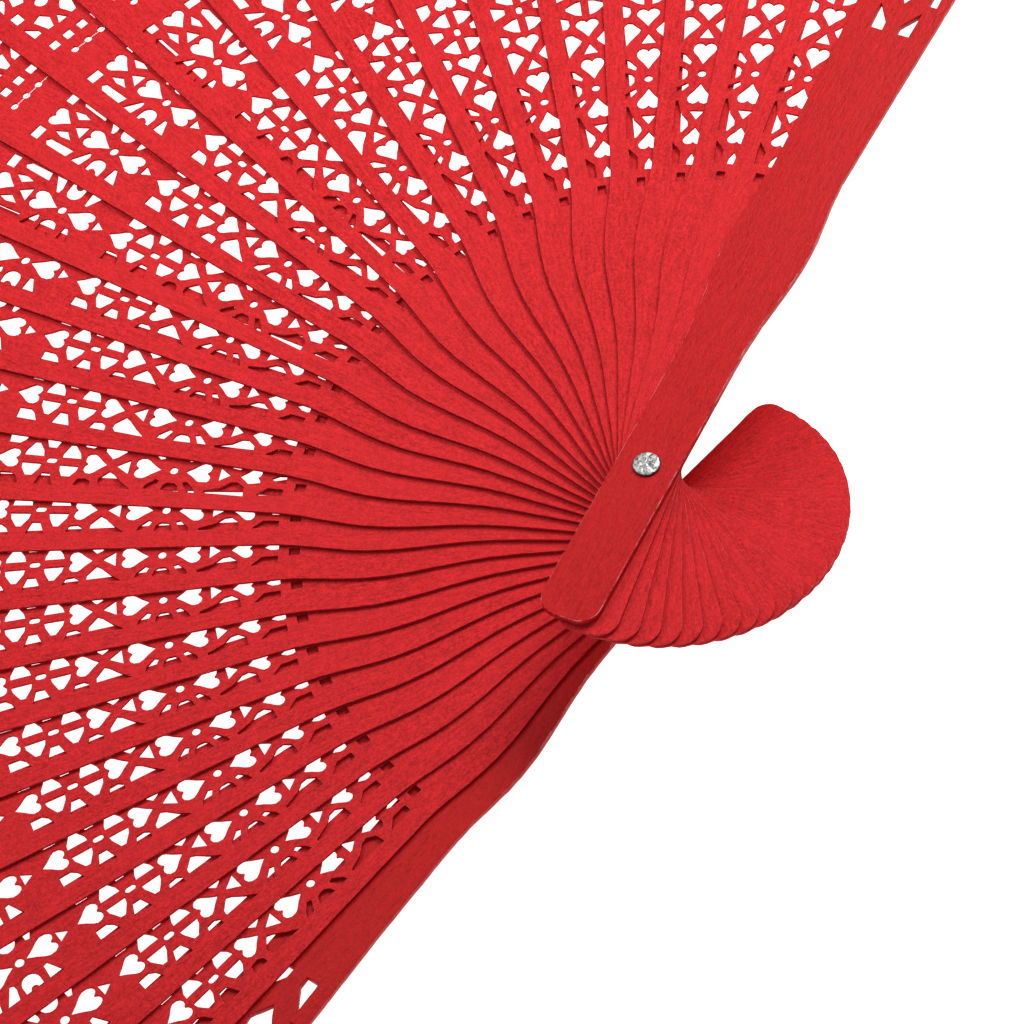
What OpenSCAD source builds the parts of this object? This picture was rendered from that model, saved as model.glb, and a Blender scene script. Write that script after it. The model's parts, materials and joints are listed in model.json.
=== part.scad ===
// Folding hand fan of pierced wooden leaves between two thicker guards, all
// turning on one rivet and linked near their tips by a fine thread.
// It is drawn spread open. The rivet's axis is Z, the underside of its tail
// is Z = 0, and +Y points along the middle of the spread fan.

/* [Fan] */
// Distance from the rivet to the tip of a leaf
leaf_reach = 208; // [206:0.5:214]
// Distance from the rivet to the rounded tail end of a leaf
tail_reach = 38; // [32:0.5:45]
// How much shorter the tails of the guards are
guard_tail_short = 1; // [0:0.1:2]
// Half the width of the plain blade at the rivet
blade_half_w = 6.2; // [5.5:0.1:7]
// Half the width at the shoulder, where the blade swells
shoulder_half_w = 9.1; // [8.5:0.1:10]
// Half the width at the waist, just outside the shoulder
waist_half_w = 7.9; // [7.4:0.1:8.4]
// Half the width at the tip
tip_half_w = 13.5; // [12.5:0.1:15]
// How far the tip's arc stands out beyond its corners
tip_rise = 4; // [2:0.5:5]
// How much narrower a leaf is on the side tucked under its neighbour
leaf_tuck = 1.7; // [0:0.1:1.8]
// How much narrower a guard is on its outer side
guard_trim = 0.8; // [0:0.1:1.2]

/* [Layers] */
// Thickness of a leaf
leaf_t = 0.6; // [0.5:0.02:0.62]
// Thickness of a guard
guard_t = 1.5; // [1.2:0.1:3]
// Distance from one leaf's underside to the next one's
leaf_pitch = 0.92; // [0.9:0.01:1.2]

/* [Spread] */
// Angle between the two guards when the fan is open
open_angle = 169; // [120:1:175]
// How much wider the leaves are spread towards the front guard
spread_bow = 3; // [0:0.1:4]
// How much the leaves bunch towards the middle of each half
spread_skew = 0.7; // [0:0.1:1]
// How much further on the few leaves lie that were pulled out unevenly
late_angle = 0.65; // [0:0.05:0.8]

/* [Rivet] */
// Radius of the rivet's shank
shank_r = 1.5; // [1:0.1:1.8]
// Radial clearance of the leaves on the shank
shank_clear = 0.05; // [0.02:0.01:0.1]
// Radius of the rivet's head
head_r = 2.75; // [2.2:0.05:4]
// Height of the rivet's head
head_h = 0.7; // [0.6:0.1:1.5]
// Radius of the washer under the rear guard
washer_r = 3.2; // [2.6:0.1:4.5]
// Thickness of the washer
washer_t = 0.7; // [0.5:0.1:1]

/* [Thread] */
// Distance from the rivet to the row of thread holes
thread_reach = 178.6; // [177.5:0.1:180]
// Distance between neighbouring thread holes of one leaf
thread_step = 3.7; // [3.4:0.1:4.2]
// Radius of a thread hole
thread_hole_r = 0.85; // [0.8:0.01:0.95]
// Radius of the thread
thread_r = 0.1; // [0.08:0.01:0.1]

/* [Hidden] */
leaf_count = 27;
last = leaf_count + 1;
leaf_gap = leaf_pitch - leaf_t;
rear_z = washer_t;
first_leaf_z = rear_z + guard_t + leaf_gap;
front_z = first_leaf_z + leaf_count * leaf_pitch;
head_gap = 0.1;
head_z = front_z + guard_t + head_gap;
bore_r = shank_r + shank_clear;

// Where the outline changes along a stick, measured from the rivet
blade_end = 24;
shoulder_at = 58;
waist_at = 76;
tail_corner_r = 4.2;
rear_tail_trim = 2.7;
rear_guard_trim = guard_trim + 0.9;
LATE_LEAVES = [10, 13, 17];

// The thread passes on top of a stick, then through its outer hole, then below
thread_lift = thread_r + 0.01;
thread_top_u = thread_reach - 0.4;
thread_low_u = thread_reach + 0.3;
thread_under_edge = 9.4;
thread_under_end = 11.5;
knot_r = 0.3;
knot_inset = 0.35;

function two(n) = n < 10 ? str("0", n) : str(n);
LEAVES = [for (k = [1:leaf_count]) str("leaf_", two(k))];
STITCHES = [for (k = [0:last]) str("thread_", two(k))];

$fn = 48;

// Stick 0 is the front guard, 1 to leaf_count are leaves, and last is the rear
// guard. The angle is from +X, and the underside's height is above Z = 0.
function share(k) = k / last;
function late(k) = len([for (j = LATE_LEAVES) if (j == k) j]) * late_angle;
function stick_angle(k) = (180 - open_angle) / 2 + open_angle * share(k)
    + spread_bow * sin(180 * share(k)) + spread_skew * sin(360 * share(k)) + late(k);
function stick_z(k) = k == 0 ? front_z : k == last ? rear_z
    : first_leaf_z + (leaf_count - k) * leaf_pitch;
function stick_t(k) = k == 0 || k == last ? guard_t : leaf_t;

// Half the width of a stick at distance u from the rivet
function ease(t) = (1 - cos(180 * t)) / 2;
function half_w(u) =
    u <= blade_end ? blade_half_w
    : u <= shoulder_at ? blade_half_w + (shoulder_half_w - blade_half_w)
        * pow(ease((u - blade_end) / (shoulder_at - blade_end)), 1.5)
    : u <= waist_at ? shoulder_half_w + (waist_half_w - shoulder_half_w)
        * ease((u - shoulder_at) / (waist_at - shoulder_at))
    : waist_half_w + (tip_half_w - waist_half_w)
        * pow((u - waist_at) / (leaf_reach - tip_rise - waist_at), 1.1);
side_stations = concat(
    [for (i = [0:7]) blade_end + i * (shoulder_at - blade_end) / 7],
    [for (i = [1:5]) shoulder_at + i * (waist_at - shoulder_at) / 5],
    [80, 84, 100, 120, 150, leaf_reach - tip_rise]);

// Plan of a stick: rounded tail, plain blade, swollen shoulder, arched tip. Each long
// edge can be set in by a trim, given as [depth, where it starts, where it is full],
// and the tail can be set in on the far side.
function on_arc(centre, r, angle) = centre + r * [cos(angle), sin(angle)];
NO_TRIM = [0, waist_at, leaf_reach];
function trim_at(trim, u) = trim[0] * ease(min(1, max(0, (u - trim[1]) / (trim[2] - trim[1]))));
function side(trim) = [for (u = side_stations) [u, half_w(u) - trim_at(trim, u)]];
function tail_corner(reach, trim) = [for (a = [180:-15:90])
    on_arc([tail_corner_r - reach, blade_half_w - trim - tail_corner_r], tail_corner_r, a)];
function far_side(points) = [for (i = [len(points) - 1:-1:0]) [points[i][0], -points[i][1]]];

module outline(reach, near_trim, far_trim, tail_trim = 0) {
    half_chord = tip_half_w - (near_trim[0] + far_trim[0]) / 2;
    tip_r = (half_chord * half_chord + tip_rise * tip_rise) / (2 * tip_rise);
    tip_centre = [leaf_reach - tip_r, (far_trim[0] - near_trim[0]) / 2];
    swing = asin(half_chord / tip_r) / 9;
    tip_arc = [for (i = [8:-1:-8]) on_arc(tip_centre, tip_r, i * swing)];
    near = concat(tail_corner(reach, 0), side(near_trim));
    far = concat(tail_corner(reach, tail_trim), side(far_trim));
    polygon(concat(near, tip_arc, far_side(far)));
}

// The same shape on both sides of the stick's middle line
module both_sides() {
    children();
    mirror([0, 1])
        children();
}

// Heart of the given length and width, its point at u, opening towards dir
HEART_HALF = [[0, 0], [0.3, 0.44], [0.52, 0.84], [0.66, 1], [0.84, 0.96], [0.96, 0.76], [1, 0.48], [0.96, 0.2]];
module heart(u, len, width, dir) {
    upper = [for (p = HEART_HALF) [u + dir * p[0] * len, p[1] * width / 2]];
    lower = [for (i = [len(upper) - 1:-1:1]) [upper[i][0], -upper[i][1]]];
    polygon(concat(upper, [[u + dir * 0.86 * len, 0]], lower));
}

// Triangle on the middle line, from its tip to its base
module dart(tip_u, base_u, base_half_w) {
    polygon([[tip_u, 0], [base_u, base_half_w], [base_u, -base_half_w]]);
}

module hole(u, v, r) {
    translate([u, v])
        circle(r);
}

module slab(u0, u1, v0, v1) {
    translate([u0, v0])
        square([u1 - u0, v1 - v0]);
}

// Innermost group: paired squares, bud, heart and cross with long side slots
module inner_group() {
    polygon([[76.2, -0.9], [76.2, 0.9], [77.8, 0.8], [79.3, 0], [77.8, -0.8]]);
    heart(86, 4.5, 4.4, -1);
    dart(87.9, 90.3, 1.6);
    both_sides() {
        slab(71.8, 74.1, 0.7, 2.5);
        polygon([[76.3, 2.3], [79.6, 2.3], [81.9, 4.2], [76.3, 3.8]]);
        polygon([[84.4, 4.7], [84.6, 2.6], [86.2, 1.5], [87.6, 1.7], [89.4, 3.1], [92.8, 4.2], [92.8, 4.7]]);
    }
}

// Small flower: a round eye between two hearts, with three petals a side
module small_flower() {
    heart(97.5, 5.4, 4.8, -1);
    hole(100, 0, 0.85);
    heart(102.6, 5.7, 4.9, 1);
    both_sides() {
        polygon([[94.6, 4.9], [96.3, 4.9], [97.6, 2.7], [96.7, 2.4], [95, 4]]);
        polygon([[98, 4.9], [102, 4.9], [101.5, 3.6], [100.7, 3], [99.3, 3], [98.5, 3.6]]);
        polygon([[105.6, 4.9], [103.7, 4.9], [102.4, 2.7], [103.3, 2.4], [105.2, 4]]);
    }
}

// Cross whose arms leave a dart, a heart and two large side openings
module small_cross() {
    dart(112.3, 109.5, 1.7);
    heart(114.2, 4.9, 4.9, 1);
    both_sides()
        polygon([[108.2, 5.3], [114.6, 5.3], [115.4, 4.4], [115.3, 3.4], [113.4, 1.5], [112.4, 2], [110.4, 3.8]]);
}

// Wheel with six spokes round a slotted hub, then the heart outside it
module wheel() {
    hole(125.7, 0, 0.62);
    hole(126.7, 0, 0.62);
    slab(125.7, 126.7, -0.62, 0.62);
    heart(138.5, 5.3, 4.7, -1);
    both_sides() {
        polygon([[116.9, 5.5], [120.4, 5.5], [119.7, 3.9], [118, 3.7], [117, 4.3]]);
        polygon([[120.1, 0.9], [124.3, 0.9], [124.1, 2], [123, 4.1], [122, 4.1], [120.5, 2.2]]);
        polygon([[124.7, 5.9], [128.7, 5.9], [127.6, 3.1], [125.9, 3.1]]);
        polygon([[128.1, 0.9], [132.4, 0.9], [132.2, 2.1], [130.8, 4.2], [129.8, 4.2], [128.4, 2.2]]);
        polygon([[132, 6.1], [136.4, 6.2], [136.4, 3.7], [134, 3.6], [132.9, 4.4]]);
    }
}

// Large flower: a round eye between two long hearts, with three petals a side
module large_flower() {
    dart(140.4, 142.7, 1.3);
    heart(150.1, 6.6, 4.9, -1);
    hole(151.5, 0, 0.95);
    heart(152.9, 6.6, 5, 1);
    both_sides() {
        polygon([[145.3, 6.7], [148.3, 6.6], [148.1, 3.4], [147.3, 3.2]]);
        difference() {
            union() {
                hole(151.8, 5.1, 1.95);
                slab(149.85, 153.75, 5.1, 6.9);
            }
            hole(151.8, 6.8, 0.85);
        }
        polygon([[155.4, 7], [158.1, 7], [155.7, 3.2], [155, 3.4], [154.8, 4.4]]);
    }
}

// Outer cross with a long bar and an upright slot on each side
module large_cross() {
    dart(163.3, 160.4, 1.8);
    heart(164.8, 5.3, 5, 1);
    both_sides() {
        polygon([[159.5, 7], [165.2, 7.1], [166.3, 6.2], [165.6, 5.3], [159, 4.9]]);
        polygon([[161.7, 3.3], [164.1, 3.8], [166.4, 3.2], [164, 1.8]]);
        slab(168.1, 170.4, 4, 7.2);
    }
}

module thread_holes() {
    for (i = [-1:1])
        hole(thread_reach, i * thread_step, thread_hole_r);
}

// One half of the tip rosette
module rosette_half() {
    dart(189.6, 187.2, 1.3);
    both_sides() {
        polygon([[187.9, 5.6], [187.8, 7.7], [191.8, 7.9], [189.2, 5.7]]);
        polygon([[187.5, 2.6], [187.6, 3.9], [191.7, 5.2], [192.4, 2.9], [190.5, 1.5]]);
    }
}

// Row of four squares, then a rosette that is the same on both sides of its eye
module tip_group() {
    eye_u = 195.2;
    both_sides() {
        slab(182, 184.2, 0.9, 3);
        slab(182, 184.2, 4.8, 6.9);
        slab(eye_u - 1.4, eye_u + 1.4, 5.7, 7.9);
    }
    hole(eye_u, 0, 1.5);
    rosette_half();
    translate([2 * eye_u, 0])
        mirror([1, 0])
            rosette_half();
}

module leaf_openings() {
    inner_group();
    small_flower();
    small_cross();
    wheel();
    large_flower();
    large_cross();
    thread_holes();
    tip_group();
}

// The guards are plain as far as a pair of wedges, and pierced beyond them
module guard_openings() {
    heart(123, 6.4, 5, 1);
    heart(138.5, 5.3, 4.7, -1);
    both_sides() {
        polygon([[115, 1.6], [115, 4.4], [121.6, 4.6], [117.2, 1.7]]);
        slab(124, 130, 5, 6.8);
        polygon([[132, 6.1], [136.4, 6.2], [136.4, 3.7], [134, 3.6], [132.9, 4.4]]);
    }
    large_flower();
    large_cross();
    thread_holes();
    tip_group();
}

// Places stick k where it belongs in the open fan
module placed(k) {
    rotate([0, 0, stick_angle(k)])
        translate([0, 0, stick_z(k)])
            children();
}

module leaf(k) {
    color("crimson")
        placed(k)
            linear_extrude(leaf_t)
                difference() {
                    outline(tail_reach, NO_TRIM, [leaf_tuck, 73, 84]);
                    hole(0, 0, bore_r);
                    leaf_openings();
                }
}

// The rear guard's outer side is the other one, and its tail is narrower
module guard(k) {
    reach = tail_reach - guard_tail_short;
    color("firebrick")
        placed(k)
            linear_extrude(guard_t)
                difference() {
                    if (k == 0)
                        outline(reach, NO_TRIM, [guard_trim, blade_end, waist_at]);
                    else
                        outline(reach, [rear_guard_trim, 40, 120], NO_TRIM, rear_tail_trim);
                    hole(0, 0, bore_r);
                    guard_openings();
                }
}

// Shank with its slightly domed head
module rivet() {
    rim_h = head_h * 0.55;
    color("silver") {
        cylinder(h = head_z + rim_h / 2, r = shank_r);
        translate([0, 0, head_z])
            cylinder(h = rim_h, r = head_r);
        translate([0, 0, head_z + rim_h])
            cylinder(h = head_h - rim_h, r1 = head_r, r2 = head_r * 0.8);
    }
}

module rivet_washer() {
    color("gainsboro")
        difference() {
            cylinder(h = washer_t, r = washer_r);
            translate([0, 0, -1])
                cylinder(h = washer_t + 2, r = shank_r + 0.02);
        }
}

// A straight run of thread between two points, with a round end at the first
module run(a, b) {
    d = b - a;
    length = norm(d);
    translate(a)
        rotate([0, acos(d[2] / length), atan2(d[1], d[0])])
            cylinder(h = length, r = thread_r, $fn = 16);
    translate(a)
        sphere(thread_r, $fn = 16);
}

// The thread on one stick: in from under its neighbour, over its three holes,
// down through the outer one, and out along its underside. Its ends are knotted,
// on top of the front guard and in the outer hole of the rear guard.
module stitch(k) {
    above = stick_t(k) + thread_lift;
    below = k == last ? knot_inset : -thread_lift;
    start = [thread_top_u, k == 0 ? -thread_step : -thread_under_edge, above];
    over_hole = [thread_top_u, thread_step, above];
    under_hole = [thread_low_u, thread_step, below];
    color("mistyrose")
        placed(k) {
            run(start, over_hole);
            run(over_hole, under_hole);
            if (k < last)
                run(under_hole, [thread_low_u, thread_under_end, below]);
            if (k == 0)
                translate(start)
                    sphere(knot_r, $fn = 24);
            if (k == last)
                translate(under_hole)
                    sphere(knot_r, $fn = 24);
        }
}

guard(last);  // rear_guard
guard(0);  // front_guard
rivet();
rivet_washer();
for (k = [1:leaf_count])
    leaf(k);
for (k = [0:last])
    stitch(k);
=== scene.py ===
"""Looks for the folding hand fan: dyed wooden sticks, a steel rivet and a fine thread."""
import json
import math

import bmesh
import bpy
import numpy as np
from mathutils import Matrix, Quaternion, Vector, geometry, noise


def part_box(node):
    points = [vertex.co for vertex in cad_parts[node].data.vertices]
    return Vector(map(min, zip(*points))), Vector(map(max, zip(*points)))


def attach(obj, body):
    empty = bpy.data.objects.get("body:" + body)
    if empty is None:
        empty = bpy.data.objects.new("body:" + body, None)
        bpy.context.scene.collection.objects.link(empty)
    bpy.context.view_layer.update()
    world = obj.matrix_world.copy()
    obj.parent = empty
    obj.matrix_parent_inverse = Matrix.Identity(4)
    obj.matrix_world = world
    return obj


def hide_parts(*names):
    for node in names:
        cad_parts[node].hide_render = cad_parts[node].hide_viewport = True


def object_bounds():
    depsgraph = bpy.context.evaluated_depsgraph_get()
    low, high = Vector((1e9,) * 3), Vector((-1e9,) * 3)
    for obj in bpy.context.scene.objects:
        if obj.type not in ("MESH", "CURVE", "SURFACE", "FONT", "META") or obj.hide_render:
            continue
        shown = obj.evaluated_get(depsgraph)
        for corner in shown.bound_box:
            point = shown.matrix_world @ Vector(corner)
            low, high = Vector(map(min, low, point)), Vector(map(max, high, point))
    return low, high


MM = 0.001
SHARP = math.radians(50)               # edges more folded than this stay crisp

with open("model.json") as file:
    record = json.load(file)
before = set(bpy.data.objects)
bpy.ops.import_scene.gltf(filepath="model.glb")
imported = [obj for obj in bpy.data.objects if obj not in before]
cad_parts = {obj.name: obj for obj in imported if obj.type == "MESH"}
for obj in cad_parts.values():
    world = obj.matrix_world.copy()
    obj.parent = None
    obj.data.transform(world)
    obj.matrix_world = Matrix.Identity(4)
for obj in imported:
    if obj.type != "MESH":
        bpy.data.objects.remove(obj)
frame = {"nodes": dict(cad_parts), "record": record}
CAD_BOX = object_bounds()
NODES = frame["nodes"]
BODY_OF = {n: b for b, ns in frame["record"]["behaviour"]["bodies"].items() for n in ns}
LEAVES = sorted(n for n in NODES if n.startswith("leaf_"))
THREADS = sorted(n for n in NODES if n.startswith("thread_"))

# ---------------------------------------------------------------- camera

CAM_TARGET = Vector((-17.04, 15.62, 27.96)) * MM
# The direction from the target to the camera, with the azimuth counted from +X
CAM_AZIMUTH = math.radians(-135.397)
CAM_ELEVATION = math.radians(55.637)
CAM_ROLL = math.radians(-14.829)
CAM_DISTANCE = 0.7872
CAM_SENSOR = 36
CAM_LENS = 142.95
CAM_SHIFT = (-0.0208, -0.0089)


def add_camera():
    back = Vector((math.cos(CAM_ELEVATION) * math.cos(CAM_AZIMUTH),
                   math.cos(CAM_ELEVATION) * math.sin(CAM_AZIMUTH),
                   math.sin(CAM_ELEVATION)))
    data = bpy.data.cameras.new("camera")
    data.sensor_width = CAM_SENSOR
    data.lens = CAM_LENS
    data.shift_x, data.shift_y = CAM_SHIFT
    data.clip_start, data.clip_end = 0.01, 20
    cam = bpy.data.objects.new("camera", data)
    bpy.context.scene.collection.objects.link(cam)
    cam.rotation_mode = "QUATERNION"
    cam.location = CAM_TARGET + back * CAM_DISTANCE
    level = (-back).to_track_quat("-Z", "Y")
    cam.rotation_quaternion = level @ Quaternion((0, 0, 1), CAM_ROLL)
    bpy.context.scene.camera = cam


# ---------------------------------------------------------------- node helpers

class Nodes:
    """Short names for building one material's node tree.

    Its textures follow the object's own axes, or with 'grain' the axes of each stick, which
    rounded sticks keep in the point attribute 'grain'."""

    def __init__(self, name, grain=False):
        self.grain = grain
        self.material = bpy.data.materials.new(name)
        self.material.use_nodes = True
        self.tree = self.material.node_tree
        self.tree.nodes.clear()
        self.out = self.add("ShaderNodeOutputMaterial")
        self.bsdf = self.add("ShaderNodeBsdfPrincipled")
        self.link(self.bsdf.outputs[0], self.out.inputs["Surface"])

    def add(self, kind, **props):
        node = self.tree.nodes.new(kind)
        for key, value in props.items():
            setattr(node, key, value)
        return node

    def link(self, a, b):
        self.tree.links.new(a, b)

    def put(self, socket, value):
        if isinstance(value, bpy.types.NodeSocket):
            self.link(value, socket)
        else:
            socket.default_value = value

    def position(self):
        """Where a point lies on its own piece, in metres."""
        if self.grain:
            return self.add("ShaderNodeAttribute", attribute_name="grain").outputs["Vector"]
        return self.add("ShaderNodeTexCoord").outputs["Object"]

    def local(self, scale):
        """The position in metres, stretched by a scale along each axis."""
        mapping = self.add("ShaderNodeMapping")
        mapping.inputs["Scale"].default_value = scale
        self.link(self.position(), mapping.inputs["Vector"])
        return mapping.outputs[0]

    def noise(self, scale, detail=2.0, rough=0.5, seed=None):
        """Noise in 1/m along each local axis, different on each piece when it has a seed."""
        tex = self.add("ShaderNodeTexNoise", noise_dimensions="4D")
        self.link(self.local(scale), tex.inputs["Vector"])
        tex.inputs["Scale"].default_value = 1.0
        tex.inputs["Detail"].default_value = detail
        tex.inputs["Roughness"].default_value = rough
        self.put(tex.inputs["W"], 0.0 if seed is None else seed)
        return tex.outputs["Fac"]

    def math(self, op, a, b):
        node = self.add("ShaderNodeMath", operation=op)
        self.put(node.inputs[0], a)
        self.put(node.inputs[1], b)
        return node.outputs[0]

    def ramp(self, value, low, high, out_low=0.0, out_high=1.0):
        node = self.add("ShaderNodeMapRange")
        for socket, v in zip(node.inputs[:5], (value, low, high, out_low, out_high)):
            self.put(socket, v)
        return node.outputs[0]

    def mix(self, factor, a, b):
        node = self.add("ShaderNodeMix", data_type="RGBA")
        self.put(node.inputs[0], factor)
        self.put(node.inputs[6], a)
        self.put(node.inputs[7], b)
        return node.outputs[2]

    def bump(self, height, strength, distance):
        node = self.add("ShaderNodeBump")
        node.inputs["Strength"].default_value = strength
        node.inputs["Distance"].default_value = distance
        self.link(height, node.inputs["Height"])
        self.link(node.outputs[0], self.bsdf.inputs["Normal"])

    def attribute(self, name):
        return self.add("ShaderNodeAttribute", attribute_name=name).outputs["Fac"]

    def along(self):
        """Distance from the rivet along a stick, in metres."""
        return self.part(self.position(), "X")

    def part(self, vector, axis):
        split = self.add("ShaderNodeSeparateXYZ")
        self.link(vector, split.inputs[0])
        return split.outputs[axis]

    def own_seed(self):
        """A number of the piece's own, from 0 to 40."""
        return self.math("MULTIPLY", self.add("ShaderNodeObjectInfo").outputs["Random"], 40.0)


def rgb(r, g, b):
    return (r, g, b, 1.0)


def darker(colour, share):
    return rgb(*[c * share for c in colour[:3]])


# ---------------------------------------------------------------- materials

# Grain of the wood, in repeats per metre along, across and through a stick
FIBRES = (240, 1500, 1500)
FUZZ = (1700, 2300, 2300)
PATCHES = (26, 60, 60)
PORES = (420, 4200, 4200)
SPECKS = (2100, 2600, 2600)
RUBBED = (300, 700, 700)
# The attribute 'edge' of a stick's faces
EDGE_FACE, EDGE_WALL, EDGE_RIM = 0.0, 0.5, 1.0


def dyed_wood(name, red, deep, worn, fuzz, rubbing, rub_end, gloss, specular):
    """Red dye soaked into thin wood: fibres along the stick, a felty fuzz, pores, worn edges and
    painted shade on the walls.

    The rims are rubbed paler by 'rubbing', fading out 'rub_end' metres from the rivet. The
    gloss is the lowest and highest roughness."""
    n = Nodes(name, grain=True)
    seed = n.own_seed()
    fibre = n.noise(FIBRES, 3.0, 0.6, seed)
    fine = n.noise(FUZZ, 2.0, 0.75, seed)
    patch = n.noise(PATCHES, 2.0, 0.5, seed)
    pores = n.noise(PORES, 1.0, 0.5, seed)
    specks = n.noise(SPECKS, 1.0, 0.5, n.math("ADD", seed, 9.0))
    edge = n.attribute("edge")

    tone = n.ramp(fibre, 0.3, 0.7, 0.0, 0.45)
    tone = n.math("ADD", tone, n.ramp(fine, 0.37, 0.63, 0.0, 0.55))
    colour = n.mix(tone, deep, red)
    colour = n.mix(n.ramp(patch, 0.35, 0.7, 0.0, 0.4), colour, darker(red, 0.8))
    colour = n.mix(n.ramp(pores, 0.66, 0.78, 0.0, 0.5), colour, darker(deep, 0.5))
    colour = n.mix(n.ramp(specks, 0.72, 0.82, 0.0, fuzz), colour, worn)
    where = n.math("MULTIPLY", n.ramp(n.along(), rub_end, rub_end * 0.6), rubbing)
    spots = n.ramp(n.noise(RUBBED, 3.0, 0.7, seed), 0.46, 0.60)
    rubbed = n.math("MULTIPLY", n.ramp(edge, 0.6, EDGE_RIM), spots)
    colour = n.mix(n.math("MULTIPLY", rubbed, where), colour, worn)
    # Painted shade: the walls of the rims and openings are painted darker, towards the deep red.
    cut = n.math("MULTIPLY", n.ramp(edge, EDGE_FACE, 0.4), n.ramp(edge, 0.9, 0.6))
    colour = n.mix(n.math("MULTIPLY", cut, 0.6), colour, deep)
    n.link(colour, n.bsdf.inputs["Base Color"])

    grain = n.math("ADD", n.math("MULTIPLY", fibre, 0.5), n.math("MULTIPLY", fine, 0.5))
    n.link(n.ramp(grain, 0.3, 0.7, *gloss), n.bsdf.inputs["Roughness"])
    n.bsdf.inputs["Specular IOR Level"].default_value = specular
    height = n.math("ADD", n.math("MULTIPLY", fibre, 0.6), n.math("MULTIPLY", fine, 0.8))
    height = n.math("SUBTRACT", height, n.ramp(pores, 0.66, 0.78, 0.0, 0.35))
    n.bump(height, 0.8, 0.00018)
    return n.material


def rivet_steel():
    """Plated steel, dull and mottled, with grime in the dents and painted shade on the sides and
    underside.
    """
    n = Nodes("rivet_steel")
    mottle = n.noise((1500, 1500, 1500), 3.0, 0.65)
    scratch = n.noise((700, 5200, 5200), 2.0, 0.6, 5.0)
    grime = n.noise((1100, 1500, 1100), 3.0, 0.7, 3.0)
    colour = n.mix(n.ramp(mottle, 0.40, 0.60), rgb(0.13, 0.13, 0.13), rgb(0.40, 0.40, 0.39))
    colour = n.mix(n.ramp(scratch, 0.54, 0.68, 0.0, 0.8), colour, rgb(0.60, 0.60, 0.58))
    colour = n.mix(n.ramp(grime, 0.58, 0.66, 0.0, 0.9), colour, rgb(0.03, 0.022, 0.022))
    # Painted shade: faces that turn sideways or down are painted near black.
    facing_up = n.part(n.add("ShaderNodeTexCoord").outputs["Normal"], "Z")
    colour = n.mix(n.ramp(facing_up, 0.6, 0.3, 0.0, 0.9), colour, rgb(0.035, 0.014, 0.014))
    n.link(colour, n.bsdf.inputs["Base Color"])
    n.bsdf.inputs["Metallic"].default_value = 1.0
    n.link(n.ramp(mottle, 0.3, 0.7, 0.32, 0.55), n.bsdf.inputs["Roughness"])
    n.bump(n.math("ADD", mottle, n.math("MULTIPLY", grime, -0.8)), 0.5, 0.00012)
    return n.material


def thread_fibre():
    """Pale thread with a fine twist."""
    n = Nodes("thread_fibre")
    twist = n.noise((6000, 6000, 6000), 2.0, 0.5)
    colour = n.mix(n.ramp(twist, 0.35, 0.65), rgb(0.72, 0.42, 0.42), rgb(0.93, 0.76, 0.75))
    n.link(colour, n.bsdf.inputs["Base Color"])
    n.link(n.ramp(twist, 0.3, 0.7, 0.3, 0.55), n.bsdf.inputs["Roughness"])
    n.bump(twist, 0.5, 0.00004)
    return n.material


def studio_white():
    """A pale board that glows a little, so that it stays white under the fan."""
    n = Nodes("studio_white")
    colour = n.mix(n.noise((3, 3, 3), 1.0, 0.5), rgb(0.90, 0.90, 0.90), rgb(0.92, 0.92, 0.92))
    n.link(colour, n.bsdf.inputs["Base Color"])
    n.bsdf.inputs["Roughness"].default_value = 0.9
    n.bsdf.inputs["Emission Color"].default_value = rgb(1, 1, 1)
    n.bsdf.inputs["Emission Strength"].default_value = 1.0
    return n.material


# ---------------------------------------------------------------- sticks

def face_loops(node):
    """The closed edges of a flat node's upper face, as lists of (x, y), the largest first."""
    top = max(v.co.z for v in node.data.vertices)
    bm = bmesh.new()
    bm.from_mesh(node.data)
    bmesh.ops.remove_doubles(bm, verts=bm.verts, dist=1e-7)
    follows = {}
    for face in bm.faces:
        if face.normal.z < 0.9 or face.calc_center_median().z < top - 1e-6:
            continue
        for loop in face.loops:
            other = [f for f in loop.edge.link_faces if f is not face]
            if not other or abs(other[0].normal.z) < 0.5:
                follows[loop.vert.index] = (loop.link_loop_next.vert.index, loop.vert.co.xy.copy())
    bm.free()
    loops = []
    while follows:
        start, (at, point) = follows.popitem()
        ring = [point]
        while at != start:
            at, point = follows.pop(at)
            ring.append(point)
        loops.append(ring)
    return sorted(loops, key=lambda ring: -abs(area(ring)))


def area(ring):
    """Signed: above zero for a ring that runs anticlockwise."""
    return sum(a.x * b.y - a.y * b.x for a, b in zip(ring, ring[1:] + ring[:1])) / 2


def centroid(ring):
    total, middle = 0.0, Vector((0, 0))
    for a, b in zip(ring, ring[1:] + ring[:1]):
        cross = a.x * b.y - a.y * b.x
        total += cross
        middle += (a + b) * cross
    return middle / (3 * total)


def resample(ring, step):
    """Adds points on stretches longer than step."""
    points = []
    for a, b in zip(ring, ring[1:] + ring[:1]):
        parts = max(1, round((b - a).length / step))
        points += [a.lerp(b, i / parts) for i in range(parts)]
    return points


def inward(ring):
    """For each point, the mitred direction into the wood, one unit deep."""
    directions = []
    count = len(ring)
    for i, p in enumerate(ring):
        before = (p - ring[i - 1]).normalized()
        after = (ring[(i + 1) % count] - p).normalized()
        n1, n2 = Vector((-before.y, before.x)), Vector((-after.y, after.x))
        directions.append((n1 + n2) / max(0.35, 1 + n1.dot(n2)))
    return directions


def hand_cut(ring, depth, seed):
    """Small waves and nicks along a sawn edge."""
    cut = []
    for p, d in zip(ring, inward(ring)):
        at = Vector((p.x / MM, p.y / MM, seed))
        wave = noise.noise(at * 0.35) * 0.6 + noise.noise(at * 1.3) * 0.4
        nick = max(0.0, noise.noise(at * 2.1 + Vector((7, 3, 1))) - 0.42) * 2.5
        cut.append(p + d * depth * (wave + nick))
    return cut


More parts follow.
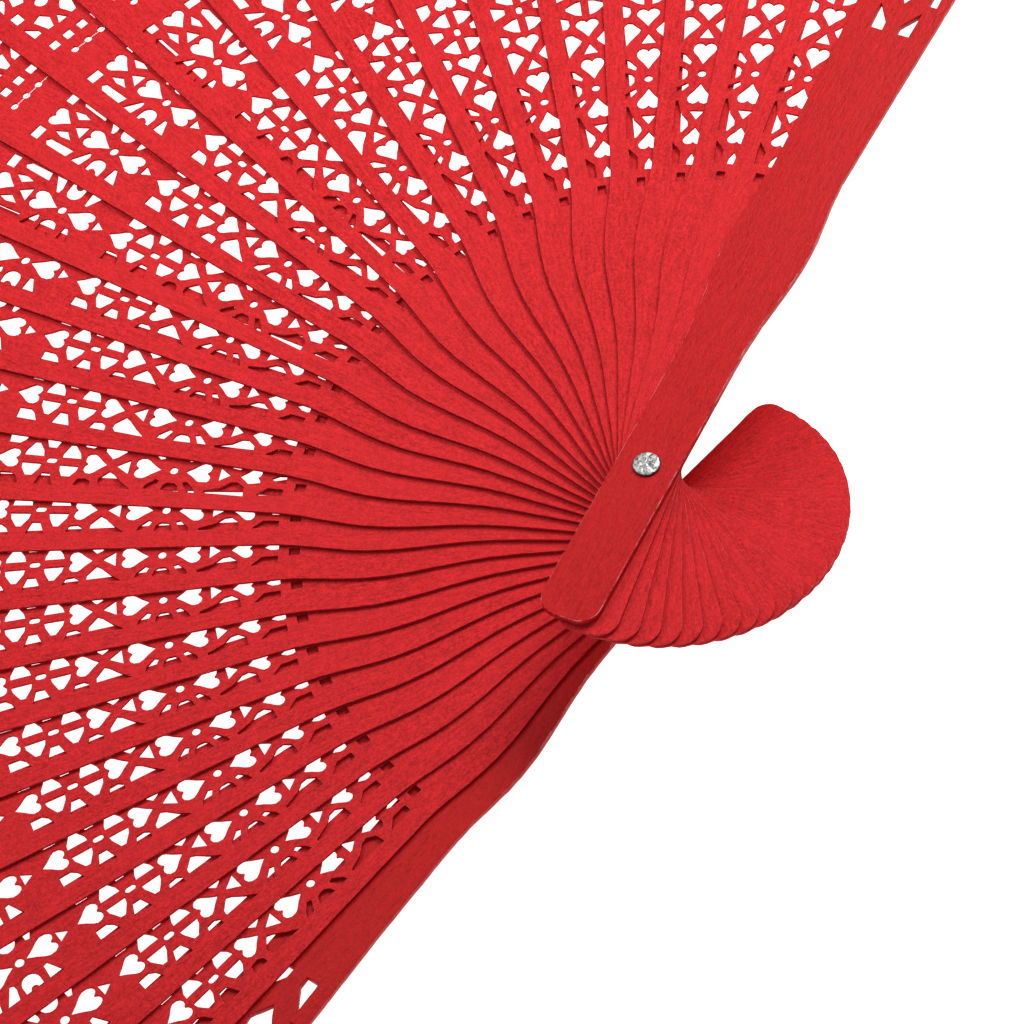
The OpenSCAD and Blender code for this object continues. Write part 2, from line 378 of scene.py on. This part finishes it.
def fill(points, edges):
    """Triangles between the outer ring and the openings, as indices of the points."""
    made = geometry.delaunay_2d_cdt([p / MM for p in points], edges, [], 1, 1e-5)
    source = [ids[0] if ids else None for ids in made[3]]
    co = np.array(points)
    a, b = co[[e[0] for e in edges]], co[[e[1] for e in edges]]
    rise = np.where(a[:, 1] == b[:, 1], 1e-12, b[:, 1] - a[:, 1])
    kept = []
    for triangle in made[2]:
        ids = [source[i] for i in triangle]
        if None in ids:
            continue
        x, y = co[ids].mean(0)
        spans = (a[:, 1] > y) != (b[:, 1] > y)
        right = a[:, 0] + (y - a[:, 1]) / rise * (b[:, 0] - a[:, 0]) > x
        if np.count_nonzero(spans & right) % 2:
            kept.append(ids)
    return kept


def shade_smooth(mesh, flat_caps=False):
    """Smooth shading, but crisp at sharp edges and, if asked, around level faces."""
    mesh.polygons.foreach_set("use_smooth", [True] * len(mesh.polygons))
    bm = bmesh.new()
    bm.from_mesh(mesh)
    for e in bm.edges:
        level = [abs(f.normal.z) > 0.999 for f in e.link_faces]
        cap_edge = flat_caps and (len(level) != 2 or level[0] != level[1])
        e.smooth = not cap_edge and e.calc_face_angle(0) < SHARP
    bm.to_mesh(mesh)
    bm.free()


def rounded_slab(name, rings, thickness, radius, material):
    """A flat stick from its rings, with rounded rims. The face attribute 'edge' marks its rims
    and walls."""
    profile = [(radius * (1 - math.sin(a)), radius * (1 - math.cos(a)))
               for a in (0, math.pi / 4, math.pi / 2)]
    levels = [(inset, thickness - drop) for inset, drop in profile]
    levels += [(inset, drop) for inset, drop in reversed(profile)]
    wall = len(profile) - 1
    points, faces, marks = [], [], []
    cap_points, cap_edges, top_ids, bottom_ids = [], [], [], []
    for ring in rings:
        size = len(ring)
        first = len(points)
        lean = inward(ring)
        for inset, z in levels:
            points += [(p.x + d.x * inset, p.y + d.y * inset, z) for p, d in zip(ring, lean)]
        for level in range(len(levels) - 1):
            upper, lower = first + level * size, first + (level + 1) * size
            for i in range(size):
                j = (i + 1) % size
                faces.append((upper + i, lower + i, lower + j, upper + j))
                marks.append(EDGE_WALL if level == wall else EDGE_RIM)
        start = len(cap_points)
        cap_points += [Vector(points[first + i][:2]) for i in range(size)]
        cap_edges += [(start + i, start + (i + 1) % size) for i in range(size)]
        top_ids += range(first, first + size)
        bottom_ids += range(len(points) - size, len(points))
    for ids in fill(cap_points, cap_edges):
        faces.append([top_ids[i] for i in ids])
        faces.append([bottom_ids[i] for i in reversed(ids)])
        marks += [EDGE_FACE, EDGE_FACE]
    mesh = bpy.data.meshes.new(name)
    mesh.from_pydata(points, [], faces)
    mesh.update()
    mark = mesh.attributes.new("edge", "FLOAT", "FACE")
    mark.data.foreach_set("value", marks)
    shade_smooth(mesh, flat_caps=True)
    mesh.materials.append(material)
    return mesh


OUTLINE_STEP = 1.1 * MM
OPENING_STEP = 0.7 * MM


def add_stick(node_name, material, rim, wear, seed):
    """Remakes a CAD stick with rounded rims and uneven edges, in the same place."""
    low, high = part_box(node_name)
    rings = face_loops(NODES[node_name])
    along = centroid(rings[0])
    angle = math.atan2(along.y, along.x)
    turn = Matrix.Rotation(-angle, 2)
    rings = [[turn @ p for p in ring] for ring in rings]
    steps = [OUTLINE_STEP] + [OPENING_STEP] * (len(rings) - 1)
    rings = [hand_cut(resample(ring, s), wear, seed) for ring, s in zip(rings, steps)]
    mesh = rounded_slab(node_name + "_wood", rings, high.z - low.z, rim, material)
    grain = mesh.attributes.new("grain", "FLOAT_VECTOR", "POINT")
    grain.data.foreach_set("vector", [c for v in mesh.vertices for c in v.co])
    mesh.transform(Matrix.Translation((0, 0, low.z)) @ Matrix.Rotation(angle, 4, "Z"))
    stick = bpy.data.objects.new(node_name + "_wood", mesh)
    bpy.context.scene.collection.objects.link(stick)
    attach(stick, BODY_OF[node_name])
    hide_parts(node_name)


# ---------------------------------------------------------------- rivet

SHANK_R = 1.5 * MM
UNDER_HEAD = 0.1 * MM                  # gap between the front guard and the head
HEAD_BEVEL = (0.15 * MM, 0.12 * MM)    # inset and height of the bevel under the head
HEAD_INSET = 0.02 * MM                 # how far the head stays inside its CAD solid
HEAD_RIM = 0.34 * MM
HEAD_CROWN = 0.1 * MM
HEAD_MIDDLE = 0.11 * MM                # how far the middle of the head lies below its top
DENTED_FROM = 0.3 * MM                 # height on the head above which it is dented
CROWN_RINGS = 10
RIVET_FACETS = 72


def rivet_profile(low, high, head_low):
    """The rivet's outline from the middle of its foot to the middle of its head, as (r, z)."""
    head_r = (high.x - low.x) / 2
    side_r = head_r - HEAD_INSET
    rim_top = high.z - HEAD_INSET - HEAD_CROWN
    profile = [(0.0, low.z), (SHANK_R, low.z), (SHANK_R, head_low),
               (head_r - HEAD_BEVEL[0], head_low), (side_r, head_low + HEAD_BEVEL[1])]
    profile += [(side_r - HEAD_RIM * (1 - math.cos(a)), rim_top - HEAD_RIM * (1 - math.sin(a)))
                for a in (0, 0.4, 0.8, 1.2, math.pi / 2)]
    flat_r = profile[-1][0]
    for i in range(1, CROWN_RINGS):
        rise = 0.6 * math.sin(math.pi / 2 * min(i, 4) / 4)
        profile.append((flat_r * (1 - i / CROWN_RINGS), rim_top + HEAD_CROWN * rise))
    return profile


def head_dent(x, y):
    """How deep the head's top is dented, from large and small knocks."""
    at = Vector((x, y, 0)) / MM
    large = max(0.0, noise.noise(at * 1.1 + Vector((3, 8, 2))))
    small = max(0.0, noise.noise(at * 3.0 + Vector((1, 4, 6))) - 0.1)
    return (large * 0.13 + small * 0.10) * MM


def add_rivet(material):
    """Shank and head turned in one, with a rounded rim and a shallow, dented top."""
    low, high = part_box("rivet")
    head_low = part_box("front_guard")[1].z + UNDER_HEAD
    profile = rivet_profile(low, high, head_low)
    count = RIVET_FACETS
    points = [(0.0, 0.0, low.z)]
    for r, z in profile[1:]:
        for i in range(count):
            a = 2 * math.pi * i / count
            x, y = r * math.cos(a), r * math.sin(a)
            dent = head_dent(x, y) if z > head_low + DENTED_FROM else 0.0
            points.append((x, y, z - dent))
    rows = len(profile) - 1
    faces = [(0, 1 + (i + 1) % count, 1 + i) for i in range(count)]
    for row in range(rows - 1):
        a, b = 1 + row * count, 1 + (row + 1) * count
        faces += [(a + i, a + (i + 1) % count, b + (i + 1) % count, b + i) for i in range(count)]
    middle = len(points)
    points.append((0.0, 0.0, high.z - HEAD_MIDDLE))
    last = 1 + (rows - 1) * count
    faces += [(middle, last + i, last + (i + 1) % count) for i in range(count)]
    mesh = bpy.data.meshes.new("rivet_turned")
    mesh.from_pydata(points, [], faces)
    mesh.update()
    shade_smooth(mesh)
    mesh.materials.append(material)
    rivet = bpy.data.objects.new("rivet_turned", mesh)
    bpy.context.scene.collection.objects.link(rivet)
    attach(rivet, BODY_OF["rivet"])
    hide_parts("rivet")


# ---------------------------------------------------------------- stage

FLOOR_HALF = 3.0
FLOOR_DROP = 0.5 * MM                  # keeps the floor clear of the washer
WORLD_STRENGTH = 0.26
# Name, place, what it points at, width in metres, power in watts
LIGHTS = (
    ("key", (0.38, -0.02, 0.46), (0, 0.05, 0.02), 0.30, 3.5),
    ("top", (-0.02, 0.22, 0.30), (-0.02, 0.13, 0.02), 0.20, 0.5),
    ("fill", (-0.9, -0.6, 1.3), (0, 0.05, 0), 1.4, 3.6),
)


def add_light(name, at, towards, size, power):
    data = bpy.data.lights.new(name, "AREA")
    data.shape = "DISK"
    data.size = size
    data.energy = power
    light = bpy.data.objects.new(name, data)
    bpy.context.scene.collection.objects.link(light)
    light.location = at
    light.rotation_mode = "QUATERNION"
    light.rotation_quaternion = (Vector(towards) - Vector(at)).to_track_quat("-Z", "Y")


def add_stage():
    mesh = bpy.data.meshes.new("floor")
    corners = [(x * FLOOR_HALF, y * FLOOR_HALF, 0) for x, y in ((-1, -1), (1, -1), (1, 1), (-1, 1))]
    mesh.from_pydata(corners, [], [(0, 1, 2, 3)])
    mesh.materials.append(studio_white())
    floor = bpy.data.objects.new("floor", mesh)
    floor.location.z = CAD_BOX[0].z - FLOOR_DROP
    bpy.context.scene.collection.objects.link(floor)
    world = bpy.data.worlds.new("studio")
    world.use_nodes = True
    background = world.node_tree.nodes["Background"]
    background.inputs["Color"].default_value = (1, 1, 1, 1)
    background.inputs["Strength"].default_value = WORLD_STRENGTH
    bpy.context.scene.world = world
    for light in LIGHTS:
        add_light(*light)
    view = bpy.context.scene.view_settings
    view.view_transform = "Standard"
    view.look = "None"


# ---------------------------------------------------------------- build

add_camera()
add_stage()

LEAF_WOOD = dyed_wood("leaf_wood", red=rgb(0.67, 0.020, 0.025), deep=rgb(0.25, 0.002, 0.003),
                      worn=rgb(0.78, 0.16, 0.16), fuzz=0.25, rubbing=0.3, rub_end=0.5,
                      gloss=(0.62, 0.85), specular=0.14)
GUARD_WOOD = dyed_wood("guard_wood", red=rgb(0.50, 0.007, 0.008), deep=rgb(0.28, 0.001, 0.002),
                       worn=rgb(0.80, 0.34, 0.34), fuzz=0.15, rubbing=0.5, rub_end=0.075,
                       gloss=(0.36, 0.52), specular=0.11)
STEEL = rivet_steel()
FIBRE = thread_fibre()

for number, name in enumerate(LEAVES):
    add_stick(name, LEAF_WOOD, rim=0.07 * MM, wear=0.05 * MM, seed=3.7 * number)
for number, name in enumerate(("front_guard", "rear_guard")):
    add_stick(name, GUARD_WOOD, rim=0.13 * MM, wear=0.1 * MM, seed=200 + 9.1 * number)

add_rivet(STEEL)
NODES["rivet_washer"].material_slots[0].material = STEEL
for name in THREADS:
    NODES[name].material_slots[0].material = FIBRE
